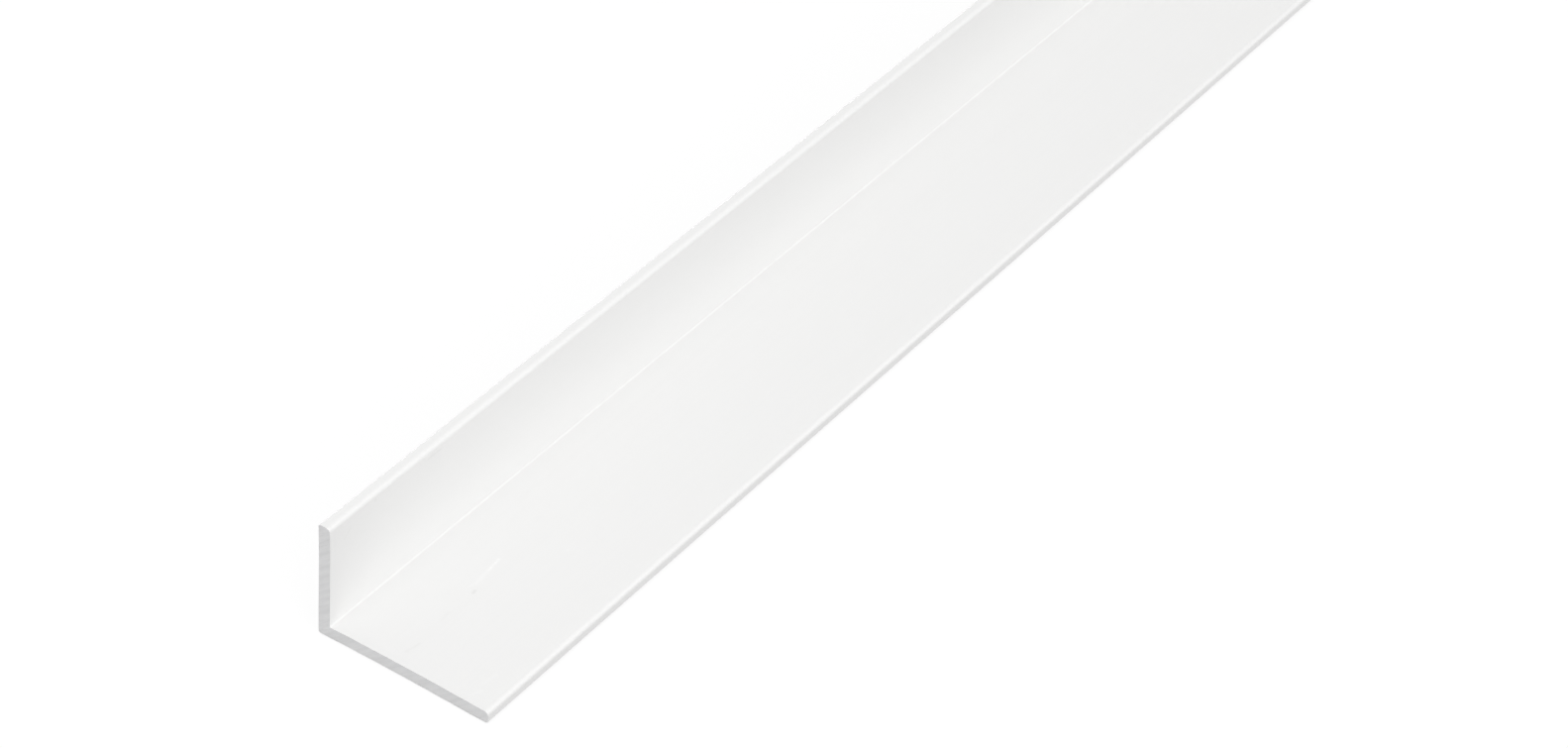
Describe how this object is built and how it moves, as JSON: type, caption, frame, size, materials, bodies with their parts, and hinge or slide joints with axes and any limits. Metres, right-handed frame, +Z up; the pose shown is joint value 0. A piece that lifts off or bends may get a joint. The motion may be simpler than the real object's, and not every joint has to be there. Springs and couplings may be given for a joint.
{
  "type": "pvc angle profile",
  "caption": "Straight rigid PVC angle with one wide and one narrower leg, rounded inner free edges and square-sawn ends, for edging, trim and corner cover.",
  "frame": {"origin": "middle of the bar's length and of its wide leg's width, on the outer face of the wide leg, which lies on the floor", "axes": "+X across the wide leg from the heel to its free edge, +Y along the bar, +Z up the tall leg"},
  "size_m": [0.03, 1, 0.02],
  "materials": {
    "white_pvc": "satin extruded skin, duller on the sawn ends"
  },
  "bodies": {
    "root": {"angle_profile": "white_pvc"}
  },
  "joints": []
}
